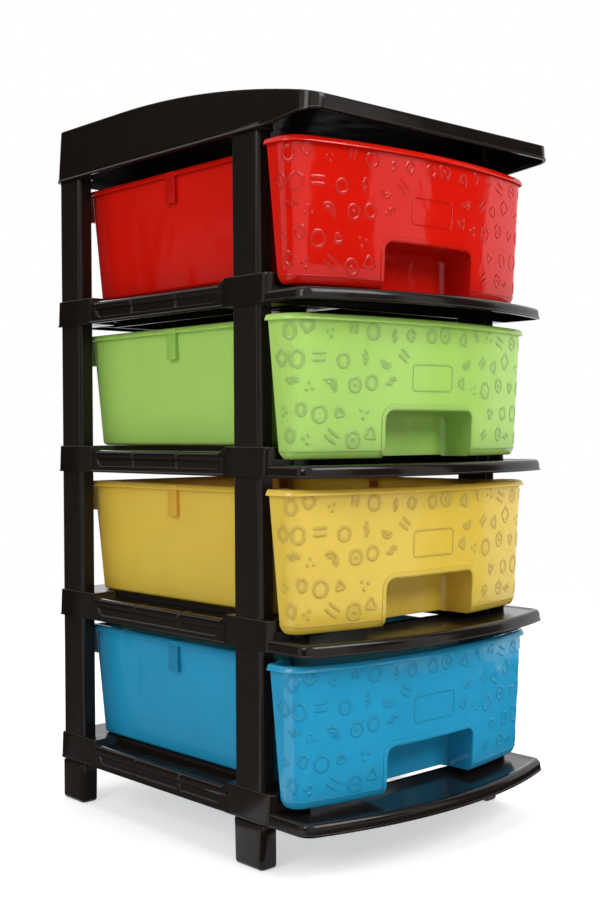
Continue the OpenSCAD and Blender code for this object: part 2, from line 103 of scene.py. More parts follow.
WALL = 1.8
SHARP = 0.1  # radius of a corner that looks sharp
BEAD_OUT = 0.6  # how far the flange bead stands out of the skirt
BEAD_TOP = 1.7
SKIRT = HALF_W - BEAD_OUT
SKIRT_REAR = REAR - BEAD_OUT
SKIRT_LEAN = 0.9
SOCKET_X = SKIRT - 27.0
SOCKET_FRONT = FRONT_POST_Y - POST_HALF_D - 12.0
SOCKET_BACK = FRONT_POST_Y + POST_HALF_D + 9.5
REAR_SOCKET = REAR_POST_Y - POST_HALF_D - 20.0
REAR_BEAM = REAR - 36.0
RUNNER_X = (HALF_W - 43.5, HALF_W - 27.5)
TUB_Z = BEAM_H + 0.3
RIM_H = 5.0
RIM_OUT = 3.3  # from the rim's edge in to the wall
DRAFT = 6.0  # how far a drawer's wall leans in, top to bottom
BOX_REAR = post_low.y - 5.6
TUB_HALF = post_low.x - 2.0
TAB_HALF = 6.25
TAB_H = 23.0
TAB_LOW = RIM_Z - RIM_H - TAB_H
POCKET_HALF = 54.0
POCKET_TOP = BOX_Z + 39.2
POCKET_R = 9.0
POCKET_BACK = BOX_REAR - RIM_OUT - DRAFT - WALL - 0.3
SIDE_TAB_Y = (FRONT_POST_Y + REAR_POST_Y) / 2 - 7.0


# ---- mesh helpers ----

SMOOTH_ANGLE = 32


def link(name, data):
    piece = bpy.data.objects.new(name, data)
    bpy.context.scene.collection.objects.link(piece)
    return piece


class Form:
    """Collects the points and faces of a mesh."""

    def __init__(self):
        self.points = []
        self.faces = []

    def quad(self, corners, flip=False):
        self.faces.append(corners[::-1] if flip else corners)

    def skin(self, rings, closed=False, flip=False):
        """Quads through rings of equally many points; closed also joins the last ring
        to the first. Gives the first point of the first and of the last ring."""
        base, n, count = len(self.points), len(rings[0]), len(rings)
        for ring in rings:
            self.points.extend(ring)
        for i in range(count if closed else count - 1):
            low, high = base + i * n, base + (i + 1) % count * n
            for j in range(n):
                k = (j + 1) % n
                self.quad((low + j, low + k, high + k, high + j), flip)
        return base, base + (count - 1) * n

    def body(self, rings, closed=False):
        """Skin with flat ends, unless it is closed."""
        first, last = self.skin(rings, closed)
        if not closed:
            n = len(rings[0])
            self.faces.append(tuple(first + j for j in reversed(range(n))))
            self.faces.append(tuple(last + j for j in range(n)))

    def piece(self, name, merge=0.0):
        """Object with its faces turned outwards; merge joins points that near."""
        mesh = bpy.data.meshes.new(name)
        mesh.from_pydata([tuple(p) for p in self.points], [], self.faces)
        shape = bmesh.new()
        shape.from_mesh(mesh)
        if merge:
            bmesh.ops.remove_doubles(shape, verts=shape.verts, dist=merge)
        bmesh.ops.recalc_face_normals(shape, faces=shape.faces)
        shape.to_mesh(mesh)
        shape.free()
        return link(name, mesh)


def solid(rings):
    """Closed mesh through rings of equally many points, with flat ends."""
    form = Form()
    form.body(rings)
    return form.piece("solid")


def bake(piece):
    """Applies the piece's modifiers to its mesh."""
    graph = bpy.context.evaluated_depsgraph_get()
    mesh = bpy.data.meshes.new_from_object(piece.evaluated_get(graph))
    piece.modifiers.clear()
    piece.data = mesh


def split_faces(piece):
    """Cuts the faces with more than four corners into triangles."""
    shape = bmesh.new()
    shape.from_mesh(piece.data)
    large = [face for face in shape.faces if len(face.verts) > 4]
    bmesh.ops.triangulate(shape, faces=large)
    shape.to_mesh(piece.data)
    shape.free()


def combine(base, tools, operation, split=False):
    """Boolean of base with each tool in turn; the tools are used up. Where flat faces
    of many pieces meet, split keeps the faces simple enough for a valid mesh."""
    for tool in tools:
        if split:
            split_faces(base)
            split_faces(tool)
        step = base.modifiers.new("step", "BOOLEAN")
        step.operation = operation
        step.solver = "MANIFOLD"
        step.object = tool
        bake(base)
        bpy.data.objects.remove(tool)
    return base


def mirrored(piece):
    """A copy of the piece on the other side of the tower."""
    mesh = piece.data.copy()
    mesh.transform(Matrix.Scale(-1, 4, (1, 0, 0)))
    mesh.flip_normals()
    return link(piece.name + "_mirror", mesh)


def finished(piece, name):
    """Names the piece, shades it smooth up to SMOOTH_ANGLE and turns it to metres."""
    mesh = piece.data
    mesh.transform(Matrix.Scale(MM, 4))
    mesh.shade_smooth()
    mesh.set_sharp_from_angle(angle=math.radians(SMOOTH_ANGLE))
    piece.name = name
    mesh.name = name
    return piece


def placed(mesh, name, material, body, node, z):
    """A copy of a finished mesh, z millimetres up, standing for a CAD node."""
    mesh = mesh.copy()
    mesh.name = name
    mesh.transform(Matrix.Translation((0, 0, z * MM)))
    mesh.materials.clear()
    mesh.materials.append(material)
    piece = link(name, mesh)
    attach(piece, body)
    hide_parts(node)


def spread(start, end, steps):
    """Evenly spaced values from start to end, with both."""
    return [start + (end - start) * k / steps for k in range(steps + 1)]


def turns(steps, start=0):
    """Angles over a quarter turn from start degrees, in radians."""
    return [math.radians(a) for a in spread(start, start + 90, steps)]


def quarter(radius, steps):
    """Inset and height of the points round a quarter circle, from the bottom edge up."""
    return [(radius * (1 - math.sin(a)), radius * (1 - math.cos(a))) for a in turns(steps)]


def soft_levels(z0, z1, low_r, high_r):
    """(inset, height) pairs from z0 to z1 with rounded lower and upper edges."""
    steps = 4
    low = [(i, z0 + h) for i, h in quarter(low_r, steps)] if low_r else [(0, z0)]
    high = [(i, z1 - h) for i, h in quarter(high_r, steps)] if high_r else [(0, z1)]
    return low + high[::-1]


def rounded_loop(x0, y0, x1, y1, radii, inset=0.0, steps=6):
    """Rectangle with its own radius at each corner, from (x0, y0) anticlockwise."""
    corners = ((x0, y0, 180), (x1, y0, 270), (x1, y1, 0), (x0, y1, 90))
    points = []
    for (x, y, start), r in zip(corners, radii):
        r = max(r, inset + SHARP)
        cx = x + math.copysign(r, (x0 + x1) / 2 - x)
        cy = y + math.copysign(r, (y0 + y1) / 2 - y)
        points += [(cx + (r - inset) * math.cos(a), cy + (r - inset) * math.sin(a))
                   for a in turns(steps, start)]
    return points


def plate(loop, levels):
    """Solid through loop(inset) at the height of each (inset, height) pair."""
    return solid([[(x, y, z) for x, y in loop(inset)] for inset, z in levels])


def block(x0, y0, x1, y1, z0, z1, radii, low_r=0.0, high_r=1.0):
    """Upright block with rounded corners and soft upper or lower edges."""
    return plate(lambda inset: rounded_loop(x0, y0, x1, y1, radii, inset),
                 soft_levels(z0, z1, low_r, high_r))


def extruded(profile, y0, y1):
    """Solid from an (x, z) outline between two places along Y."""
    return solid([[(x, y, z) for x, z in profile] for y in (y0, y1)])


def blend01(t):
    """Smooth step from 0 to 1."""
    t = min(max(t, 0.0), 1.0)
    return t * t * (3 - 2 * t)


class BowPlan:
    """Outline with straight sides, round front corners and a bowed front.
    u is the distance along it from the middle of the front, at no inset."""

    def __init__(self, half_w, corner_r, bow, front):
        self.half_w = half_w
        self.corner_r = corner_r
        self.corner_x = half_w - corner_r
        inner_r = (self.corner_x ** 2 + bow ** 2) / (2 * bow)
        self.turn = math.asin(self.corner_x / inner_r)
        self.bow_r = inner_r + corner_r
        self.bow_y = front + self.bow_r
        self.corner_y = front + corner_r + bow
        self.u_bow = self.bow_r * self.turn
        self.u_corner = self.u_bow + corner_r * (math.pi / 2 - self.turn)

    def at(self, u, inset=0.0):
        """Point and outward direction at u, moved inwards by inset."""
        side = -1.0 if u < 0 else 1.0
        d = abs(u)
        if d <= self.u_bow:
            a = d / self.bow_r
            cx, cy, r = 0.0, self.bow_y, self.bow_r - inset
        elif d <= self.u_corner:
            a = self.turn + (d - self.u_bow) / self.corner_r
            cx, cy, r = self.corner_x, self.corner_y, self.corner_r - inset
        else:
            return (side * (self.half_w - inset), self.corner_y + d - self.u_corner), (side, 0.0)
        sin, cos = math.sin(a), math.cos(a)
        return (side * (cx + r * sin), cy - r * cos), (side * sin, -cos)

    def reach(self, rear, inset):
        """The u at which the straight side ends, when its rear edge moves in too."""
        return self.u_corner + rear - inset - self.corner_y

    def loop(self, rear, inset=0.0, bow_steps=32, corner_steps=8):
        """Closed outline that ends in a straight rear edge at y = rear."""
        us = spread(0.0, self.u_bow, bow_steps)
        us += spread(self.u_bow, self.u_corner, corner_steps)[1:]
        half = [self.at(u, inset)[0] for u in us]
        half.append((self.half_w - inset, rear))
        return [(-x, y) for x, y in reversed(half)] + half[1:]


class Strips(Form):
    """Raised lines and dots that lie on a surface."""

    TIP_WIDTH, TIP_HEIGHT = 0.35, 0.4  # of an open line's end, against its own
    ARC_STEPS = 4
    DOME = ((1.0, 0.0), (0.8, 0.6), (0.45, 0.92))  # (radius, height) up a dot
    SINK = 0.4  # how deep a strip starts in the surface

    def line(self, path, width, height, closed=False, sink=SINK, flat=0.0):
        """Ridge along path, a list of (point, normal): half round, or with a flat
        top between slopes of that width."""
        rings = []
        count = len(path)
        for i, (p, n) in enumerate(path):
            before = path[(i - 1) % count if closed else max(i - 1, 0)][0]
            after = path[(i + 1) % count if closed else min(i + 1, count - 1)][0]
            along = (after - before).normalized()
            side = along.cross(n).normalized()
            end = not closed and i in (0, count - 1)
            w, h = width / 2, height
            if end:
                w, h = width * self.TIP_WIDTH, height * self.TIP_HEIGHT
            ring = [p - side * w - n * sink]
            for k in range(self.ARC_STEPS + 1):
                a = math.pi * (1 - k / self.ARC_STEPS)
                across, rise = w * math.cos(a), h * math.sin(a)
                if flat and k in (1, self.ARC_STEPS - 1):
                    across, rise = math.copysign(w - flat, across), h
                ring.append(p + side * across + n * rise)
            ring.append(p + side * w - n * sink)
            rings.append(ring)
        self.body(rings, closed)

    def dot(self, p, n, radius, height):
        """Shallow dome."""
        side = n.orthogonal().normalized()
        other = n.cross(side)
        count = 12
        angles = [math.tau * k / count for k in range(count)]
        levels = [(1.0, -self.SINK)] + [(scale, rise * height) for scale, rise in self.DOME]
        rings = [[p + n * rise + (side * math.cos(a) + other * math.sin(a)) * radius * scale
                  for a in angles] for scale, rise in levels]
        self.body(rings)


def joined(base, extra):
    """Adds the mesh of extra to base."""
    shape = bmesh.new()
    shape.from_mesh(base.data)
    shape.from_mesh(extra.data)
    shape.to_mesh(base.data)
    shape.free()
    bpy.data.objects.remove(extra)
    return base


# ---- materials ----

NOISE_LOW, NOISE_HIGH = 0.3, 0.7  # where nearly all of a noise lies
PLASTIC_IOR = 1.49
SCATTER = (1.0, 0.8, 0.6)  # how far each colour scatters, times the scale
SCATTER_SCALE = 0.01
GRAIN_SCALE, GRAIN_DEPTH = 1500.0, 0.00001
CORNER_SHADE, CLIP_SHADE = 0.55, 0.5  # how strongly the painted shade shows at the rear corners and over the clips, 0 to 1
CORNER_FROM, CORNER_FULL = 50, 5  # mm before the tub's rear


def fill(tree, node, values):
    """Gives inputs of a node, by name or number, a value or a link; returns its outputs."""
    for key, value in values.items():
        if isinstance(value, bpy.types.NodeSocket):
            tree.links.new(value, node.inputs[key])
        else:
            node.inputs[key].default_value = value
    return node.outputs


def add(tree, kind, values=None, **settings):
    """Outputs of a new shader node with these settings and inputs."""
    node = tree.nodes.new("ShaderNode" + kind)
    for name, setting in settings.items():
        setattr(node, name, setting)
    return fill(tree, node, values or {})


def noise(tree, coords, scale, detail, roughness=0.5):
    return add(tree, "TexNoise", {"Scale": scale, "Detail": detail, "Roughness": roughness,
                                  "Vector": coords})["Fac"]


def ranged(tree, value, low, high):
    """A noise spread out from low to high."""
    return add(tree, "MapRange", {"From Min": NOISE_LOW, "From Max": NOISE_HIGH,
                                  "To Min": low, "To Max": high, "Value": value})["Result"]


def maths(tree, operation, *values):
    """Result of a Math node on numbers and sockets."""
    return add(tree, "Math", dict(enumerate(values)), operation=operation)["Value"]


def slope(tree, value, start, end):
    """0 where the value is at start, 1 where it is at end, smooth between."""
    return add(tree, "MapRange", {"From Min": start, "From Max": end, "Value": value},
               interpolation_type="SMOOTHSTEP")["Result"]


def painted_corner_and_clip_shade(tree, coords, tier):
    """Painted shade on a see-through drawer, 0 to 1: its colour is painted darker where the walls
    meet at the back and where the side clips lie over the wall, standing in for the shade that
    falls there."""
    split = add(tree, "SeparateXYZ", {"Vector": coords})
    x, y, z = (split[axis] for axis in "XYZ")
    near_rear = slope(tree, y, (TUB_REAR - CORNER_FROM) * MM, (TUB_REAR - CORNER_FULL) * MM)
    corner = maths(tree, "MULTIPLY", near_rear, CORNER_SHADE)
    rim = FOOT_H + (tier - 1) * PITCH + RIM_Z - RIM_H
    clip_x, spare, lap = TUB_HALF - 12, 0.05, 0.2
    along = maths(tree, "ABSOLUTE", maths(tree, "SUBTRACT", y, SIDE_TAB_Y * MM))
    clip = maths(tree, "LESS_THAN", along, (TAB_HALF + spare) * MM)
    out = maths(tree, "GREATER_THAN", maths(tree, "ABSOLUTE", x), clip_x * MM)
    above = maths(tree, "GREATER_THAN", z, (rim - TAB_H - spare) * MM)
    below = maths(tree, "LESS_THAN", z, (rim + lap) * MM)
    inside = maths(tree, "MULTIPLY", maths(tree, "MULTIPLY", clip, out),
                   maths(tree, "MULTIPLY", above, below))
    return maths(tree, "MAXIMUM", corner, maths(tree, "MULTIPLY", inside, CLIP_SHADE))


def mixed(tree, first, second, factor):
    """Colour mix of first towards second."""
    return add(tree, "Mix", {"A": first, "B": second, "Factor": factor},
               data_type="RGBA")["Result"]


def bumped(tree, coords, levels):
    """Normal of bumps laid over each other: levels of (noise scale, detail, depth)."""
    below = {}
    for scale, detail, depth in levels:
        height = noise(tree, coords, scale, detail)
        normal = add(tree, "Bump", {"Distance": depth, "Height": height, **below})["Normal"]
        below = {"Normal": normal}
    return normal


def new_material(name):
    """A new material, its node tree and its shader."""
    material = bpy.data.materials.new(name)
    material.use_nodes = True
    tree = material.node_tree
    return material, tree, tree.nodes["Principled BSDF"]


def moulded_plastic(name, colour, roughness, waves, gloss, subsurface=0.0, tier=0):
    """Injection-moulded plastic: faintly cloudy colour, uneven gloss, slow waves
    from the mould, swirls where the melt flowed and a very fine grain. A drawer of
    a tier also gets painted shade: its colour is darker towards its rear corners and over its side
    clips."""
    material, tree, shader = new_material(name)
    coords = add(tree, "TexCoord")["Object"]
    cloudy = 0.06
    dull = (*(c * (1 - cloudy) for c in colour), 1)
    bright = (*(c * (1 + cloudy / 2) for c in colour), 1)
    clouds = noise(tree, coords, scale=9.0, detail=2.0)
    tone_and_painted_shade = mixed(tree, dull, bright, ranged(tree, clouds, 0.0, 1.0))
    if tier:
        # painted shade: a darker copy of the drawer's colour, mixed in towards the rear corners
        # and over the side clips
        deep = (*(0.5 * c ** 1.15 for c in colour), 1)
        tone_and_painted_shade = mixed(tree, tone_and_painted_shade, deep, painted_corner_and_clip_shade(tree, coords, tier))
    smears = noise(tree, coords, scale=40.0, detail=3.0, roughness=0.6)
    levels = ((26.0, 1.0, waves), (95.0, 2.0, waves * 0.14), (GRAIN_SCALE, 1.0, GRAIN_DEPTH))
    fill(tree, shader, {"Base Color": tone_and_painted_shade, "Specular IOR Level": gloss, "IOR": PLASTIC_IOR,
                        "Roughness": ranged(tree, smears, roughness * 0.75, roughness * 1.3),
                        "Subsurface Weight": subsurface, "Subsurface Radius": SCATTER,
                        "Subsurface Scale": SCATTER_SCALE,
                        "Normal": bumped(tree, coords, levels)})
    return material


FRAME_BLACK = moulded_plastic("frame_black", (0.0095, 0.0067, 0.0053), 0.14, 0.0001, 0.25)
POST_BLACK = moulded_plastic("post_black", (0.0115, 0.0082, 0.0067), 0.2, 0.0001, 0.22)
DRAWER_LOOKS = {  # from the bottom up: colour, roughness, waves, gloss, subsurface
    "blue": ((0.02, 0.33, 0.58), 0.13, 0.0016, 0.4, 0.4),
    "yellow": ((0.9, 0.56, 0.07), 0.18, 0.0012, 0.45, 0.5),
    "green": ((0.42, 0.71, 0.14), 0.18, 0.0014, 0.45, 0.5),
    "red": ((0.68, 0.0085, 0.003), 0.075, 0.0009, 0.32, 0.3),
}


# ---- drawer ----

BOX_PLAN = BowPlan(BOX_HALF, corner_r=23.0, bow=15.4, front=BOX_FRONT)
TUB_CORNER, CORNER_GROW = 3.5, 0.25  # rear corners, and their growth with the inset
POCKET_AHEAD, POCKET_MOUTH = -230.0, -172.0  # y where the pocket's solid and its taper start
POCKET_LOW = -4.0
POCKET_DRAFT = 1.6
POCKET_BACK_R = 6.0
LABEL_HALF, LABEL_LOW, LABEL_HIGH = 24.5, 68.4, 89.9
BORDER_OUT = 1.95  # middle of the border round the pocket
MOTIF_STEP, ROW_STEP = 20.6, 21.0
MOTIF_HEIGHT = 0.34
EDGE_STEPS = 6


def box_inset(z):
    """How far the front box's wall lies inside the rim at height z."""
    return RIM_OUT + DRAFT * (RIM_Z - z) / (RIM_Z - BOX_Z)


def tub_inset(z):
    return RIM_OUT + DRAFT * (RIM_Z - z) / (RIM_Z - TUB_Z)


def box_loop(inset):
    return BOX_PLAN.loop(BOX_REAR - inset, inset)


def tub_loop(inset, front):
    """Outline of the tub behind the front box; its rear corners are tightest at the rim."""
    corner = TUB_CORNER + CORNER_GROW * inset
    return rounded_loop(-TUB_HALF + inset, front, TUB_HALF - inset, TUB_REAR - inset,
                        (SHARP, SHARP, corner, corner), steps=8)


LOW_RIDGE = 6.4  # height of the line round the box's foot
LOW_EDGE = ((0.0, 3.3), (0.35, 2.7), (1.0, 2.2), (3.0, 1.1), (5.0, 0.35), (LOW_RIDGE, 0.0))


def low_edge(h):
    """How far the front box curves in at a height over its underside."""
    for (h0, i0), (h1, i1) in zip(LOW_EDGE, LOW_EDGE[1:]):
        if h < h1:
            return i0 + (i1 - i0) * (h - h0) / (h1 - h0)
    return 0.0


def round_edge(radius):
    return [(h, i) for i, h in quarter(radius, EDGE_STEPS)]


def tapered_box(loop, inset_at, floor, edge, more, top):
    """Box whose walls follow inset_at over a bottom edge of (height, inset) pairs;
    more is the extra inset of an inner wall."""
    levels = [(inset_at(floor + h) + i + more, floor + h) for h, i in edge]
    levels += [(inset_at(z) + more, z) for z in spread(levels[-1][1], RIM_Z, 8)[1:]]
    if top > RIM_Z:
        levels.append((inset_at(RIM_Z) + more, top))
    return plate(loop, levels)


def corner_arc(x, z, r):
    """(x, z) points of the arch's right shoulder, from its side to its top."""
    return [(x - r + r * math.cos(a), z - r + r * math.sin(a)) for a in turns(8)]


def pocket(grow, back, edge_r):
    """The handle pocket as a solid: an arch in front view, narrowing a little to
    its rounded back."""
    stations = [(POCKET_AHEAD, 0.0), (POCKET_MOUTH, 0.0)]
    stations += [(back - edge_r + edge_r * math.sin(a), POCKET_DRAFT + edge_r * (1 - math.cos(a)))
                 for a in turns(EDGE_STEPS)]
    rings = []
    for y, inset in stations:
        x = POCKET_HALF + grow - inset
        z = POCKET_TOP + grow - inset
        r = max(POCKET_R + grow - inset / 2, 2.0)
        arch = [(x, POCKET_LOW)] + corner_arc(x, z, r)
        rings.append([(px, y, pz) for px, pz in arch + [(-px, pz) for px, pz in reversed(arch)]])
    return solid(rings)


def side_tab(side):
    """Clip tab that hangs straight down from the rim along the tub's side."""
    edge, below_rim, inside_rim = 0.6, 1.0, 0.4
    x0, x1 = sorted((side * (TUB_HALF - RIM_OUT - DRAFT), side * (TUB_HALF - inside_rim)))
    return block(x0, SIDE_TAB_Y - TAB_HALF, x1, SIDE_TAB_Y + TAB_HALF,
                 TAB_LOW, RIM_Z - below_rim, (edge,) * 4, edge, 0.0)


def rear_tab(side):
    """Clip tab behind the rim."""
    edge, below_rim = 0.8, 0.3
    x0, x1 = sorted((side * (TUB_HALF - 21.0), side * (TUB_HALF - 6.5)))
    return block(x0, TUB_REAR - RIM_OUT - DRAFT, x1, TUB_REAR + REAR_TAB_OUT,
                 TAB_LOW, RIM_Z - below_rim, (edge,) * 4, edge, edge)


def front_point(u, z):
    """Point on the drawer's front and its outward normal."""
    inset = box_inset(z) + low_edge(z - BOX_Z)
    (x, y), (nx, ny) = BOX_PLAN.at(u, inset)
    normal = Vector((nx, ny, -DRAFT / (RIM_Z - BOX_Z))).normalized()
    return Vector((x, y, z)), normal


def circle(radius, count, start=0.0, sweep=360.0):
    """Points round a circle, or along an arc with both its ends."""
    n = count if sweep == 360.0 else count - 1
    angles = [math.radians(start + sweep * k / n) for k in range(count)]
    return [(radius * math.cos(a), radius * math.sin(a)) for a in angles]


def polygon(sides, radius):
    """Points along the sides of a polygon, none of them at its corners."""
    corners = circle(radius, sides, 90)
    per_side = 4
    points = []
    for k in range(sides):
        (ax, ay), (bx, by) = corners[k], corners[(k + 1) % sides]
        for j in range(per_side):
            t = (j + 0.5) / per_side
            points.append((ax + (bx - ax) * t, ay + (by - ay) * t))
    return points


POLYGONS = {"triangle": 3, "square": 4, "hexagon": 6}
MOTIFS = ("ring", "triangle", "wave", "square", "dots", "rainbow", "hexagon", "bars", "target")


def motif_lines(kind, size):
    """Closed and open lines of one raised motif, and its dots."""
    closed, opened, dots = [], [], []
    if kind in ("ring", "target"):
        closed.append(circle(size, 18))
        if kind == "target":
            dots.append((0.0, 0.0, size * 0.3))
    elif kind in POLYGONS:
        closed.append(polygon(POLYGONS[kind], size * 1.1))
    elif kind == "rainbow":
        opened.append(circle(size, 11, 0, 180))
        opened.append(circle(size * 0.5, 8, 0, 180))
    elif kind == "wave":
        opened.append([(size * (k / 6 - 1), size * 0.4 * math.sin(math.pi * k / 3))
                       for k in range(13)])
    elif kind == "bars":
        for shift in (-0.45, 0.45):
            opened.append([(shift * size, size * (k / 2 - 1)) for k in range(5)])
    else:
        dots.extend((x, y, size * 0.24) for x, y in circle(size * 0.62, 3, 90))
    return closed, opened, dots


def stays_clear(u, z):
    """Whether a motif at (u, z) keeps off the pocket, the label and the box's sides."""
    margin = 12
    near_pocket = abs(u) < POCKET_HALF + margin and z < POCKET_TOP + margin
    near_label = abs(u) < 34 and 60 < z < 98
    return not (near_pocket or near_label or abs(u) > BOX_PLAN.u_corner + 1)


def raise_motif(strips, kind, size, spin, u, z):
    """Lays one motif on the drawer's front at (u, z), turned by spin."""
    cos, sin = math.cos(spin), math.sin(spin)

    def spot(a, b):
        return front_point(u + a * cos - b * sin, z + a * sin + b * cos)

    closed, opened, dots = motif_lines(kind, size)
    for line in closed:
        strips.line([spot(*p) for p in line], 2.7, MOTIF_HEIGHT, closed=True, flat=0.75)
    for line in opened:
        strips.line([spot(*p) for p in line], 2.8, MOTIF_HEIGHT, flat=0.75)
    for a, b, r in dots:
        strips.dot(*spot(a, b), r * 1.15, 0.4)


def raise_motifs(strips):
    """Rows of motifs over the front, each a little off its place and turned at random."""
    pick = random.Random(11)
    rows, columns = 5, 17
    first_row, row_shift, jitter = 17, 10, 3
    for row in range(rows):
        for column in range(columns):
            u = (column - (columns - 1) / 2) * MOTIF_STEP + (row % 2 - 0.5) * row_shift
            u += pick.uniform(-jitter, jitter)
            z = BOX_Z + first_row + row * ROW_STEP + pick.uniform(-jitter, jitter)
            kind = MOTIFS[(row * 4 + column * 2 + pick.randrange(2)) % len(MOTIFS)]
            size = pick.uniform(4.8, 6.6)
            spin = pick.uniform(0, math.tau)
            if stays_clear(u, z):
                raise_motif(strips, kind, size, spin, u, z)


def pocket_border():
    """(u, z) points up one side of the pocket, over it and down the other."""
    x, top, r = POCKET_HALF + BORDER_OUT, POCKET_TOP + BORDER_OUT, POCKET_R + BORDER_OUT
    half = [(x, z) for z in spread(BOX_Z + 0.6, top - r, 8)[:-1]]
    half += corner_arc(x, top, r)
    half += [((x - r) * (1 - k / 4), top) for k in range(1, 4)]
    return half + [(0.0, top)] + [(-px, pz) for px, pz in reversed(half)]


def emboss():
    """Raised motifs over the drawer's front, its label frame and borders."""
    strips = Strips()
    raise_motifs(strips)
    label = rounded_loop(-LABEL_HALF, LABEL_LOW, LABEL_HALF, LABEL_HIGH, (3.5,) * 4, steps=5)
    strips.line([front_point(u, z) for u, z in label], 1.3, 0.55, closed=True)
    border = [front_point(u, z) for u, z in pocket_border()]
    strips.line(border, 3.9, 0.8, sink=1.0, flat=0.45)
    ridge_z = BOX_Z + LOW_RIDGE
    start = POCKET_HALF + 3.5
    end = BOX_PLAN.reach(BOX_REAR, box_inset(ridge_z)) - 0.6
    for side in SIDES:
        ridge = [front_point(side * u, ridge_z) for u in spread(start, end, 30)]
        strips.line(ridge, 1.3, 0.35)
    return strips.piece("strips")


def drawer_mesh():
    """One drawer at a tier's own heights. lip and groove hold (inset, height) pairs."""
    tub_front = BOX_REAR - 25.0  # inside the box, so that the two overlap
    over_rim = RIM_Z + 4

    def tub(inset, front=tub_front):
        return tub_loop(inset, front)

    lip = [(0.6, RIM_Z - RIM_H), (0.0, RIM_Z - 4.7), (0.0, RIM_Z - 4.2), (0.5, RIM_Z - 3.0),
           (1.2, RIM_Z - 1.5), (1.9, RIM_Z - 0.5), (2.8, RIM_Z - 0.06), (3.7, RIM_Z)]
    groove = [(1.2, RIM_Z - RIM_H - 3), (1.2, RIM_Z - 4.2), (2.6, RIM_Z - 1.6)]

    def box_rim(inset):
        """The front box's rim, flush with its rear wall."""
        return BOX_PLAN.loop(BOX_REAR - RIM_OUT, inset)

    body = plate(box_rim, lip)
    combine(body, [plate(tub, lip)], "UNION")
    combine(body, [plate(box_loop, groove), plate(tub, groove)], "DIFFERENCE")
    combine(body, [tapered_box(box_loop, box_inset, BOX_Z, LOW_EDGE, 0.0, RIM_Z),
                   tapered_box(tub, tub_inset, TUB_Z, round_edge(3.2), 0.0, RIM_Z)], "UNION")
    for side in SIDES:
        combine(body, [side_tab(side), rear_tab(side)], "UNION")
    inner_box = tapered_box(box_loop, box_inset, BOX_Z + WALL, LOW_EDGE, WALL, over_rim)
    inner_tub = tapered_box(lambda inset: tub(inset, tub_front - 4.0), tub_inset, TUB_Z + WALL,
                            round_edge(2.0), WALL, over_rim)
    combine(body, [inner_box, inner_tub], "DIFFERENCE")
    housing = pocket(WALL, POCKET_BACK + WALL, POCKET_BACK_R + WALL)
    combine(housing, [tapered_box(box_loop, box_inset, BOX_Z, LOW_EDGE, 0.3, RIM_Z)], "INTERSECT")
    combine(body, [housing], "UNION")
    combine(body, [pocket(0.0, POCKET_BACK, POCKET_BACK_R)], "DIFFERENCE")
    return finished(joined(body, emboss()), "drawer_form")


def drawers():
    form = drawer_mesh()
    for tier, (colour, look) in zip(TIERS, DRAWER_LOOKS.items()):
        material = moulded_plastic(f"drawer_{colour}", *look, tier=tier)
        node = f"drawer_{tier}_{colour}"
        placed(form.data, f"{colour}_drawer", material, node, node,
               FOOT_H + (tier - 1) * PITCH)
    bpy.data.objects.remove(form)


# ---- shelf ----

SHELF_PLAN = BowPlan(HALF_W, corner_r=13.0, bow=23.3, front=LIP)
ROLL_X = SKIRT - 5.1  # middle of the roll along a side beam
ROLL_Z = 15.1
ROLL_R = 5.0
BAYS = 3
RIB_SLANT, RIB_WIDTH = 0.5, 0.85
FIELD_TOP = ROLL_Z + ROLL_R
FIELD_LOW = 4.6
FIELD_DEPTH = 1.25
FIELD_CORNER = 3.0
FIELD_EDGE = 1.3  # width of the step down into the field
FRONT_SLANT, REAR_SLANT = 0.55, 0.8  # lean of the field's ends
FRONT_SLOPE, REAR_SLOPE = 1.14, 1.28  # length of those ends for their height
FLUSH_FROM, FLUSH_FULL = 40, 108  # degrees up the roll, where it ends in a socket


def outer_x(z):
    """Outer face of a shelf's side: a bead at the bottom, then a skirt that leans in."""
    if z < BEAD_TOP:
        return HALF_W
    return SKIRT - SKIRT_LEAN * (z - BEAD_TOP) / (BEAM_H - BEAD_TOP)


def deck():
    """Front deck with its rolled lip, hollow underneath, through (inset, height) pairs."""
    rear = SOCKET_FRONT + WALL
    edge = [(0.35, 0.0), (0.0, 0.35), (0.0, 1.4), (0.3, 1.8), (0.65, 1.95), (0.95, 4.6),
            (1.15, 6.4), (1.5, 7.5), (2.1, 8.5), (3.0, 9.3), (4.1, 9.7), (5.2, 9.8),
            (6.4, 9.65), (7.6, 9.25), (8.6, 8.97), (9.4, 8.9)]
    inner = [(2.7, -1.0), (2.9, 5.4), (3.6, 6.4), (5.0, 6.9)]
    fine = {"bow_steps": 40, "corner_steps": 10}
    body = plate(lambda inset: SHELF_PLAN.loop(rear, inset, **fine), edge)
    hollow = plate(lambda inset: SHELF_PLAN.loop(rear - WALL, inset, **fine), inner)
    return combine(body, [hollow], "DIFFERENCE")


def socket(y0, y1, radii):
    """Corner socket that a post stands on."""
    rings = []
    levels = [(0.0, 0.0), (0.0, 1.5), (0.0, 1.75)]
    levels += [(0.0, z) for z in spread(2.2, BEAM_H - 2.0, 4)]
    levels += [(i, BEAM_H - h) for i, h in reversed(quarter(1.4, 4))]
    for inset, z in levels:
        loop = rounded_loop(SOCKET_X, y0, outer_x(z), y1, radii, inset)
        rings.append([(x, y, z) for x, y in loop])
    return solid(rings)


def shoulder(y0, y1):
    """Slope from the top of a socket down to the side roll."""
    rings = []
    steps = 8
    low, drop, edge, edge_mid = 2.5, 4.6, 1.6, 0.5
    for k in range(steps + 1):
        y = y0 + (y1 - y0) * k / steps
        top = BEAM_H - 0.3 - drop * blend01(k / steps)
        x1 = outer_x(top) - 0.2
        rings.append([(SOCKET_X, y, low), (x1, y, low), (x1, y, top - edge),
                      (x1 - edge_mid, y, top - edge_mid), (x1 - edge, y, top), (SOCKET_X, y, top)])
    return solid(rings)


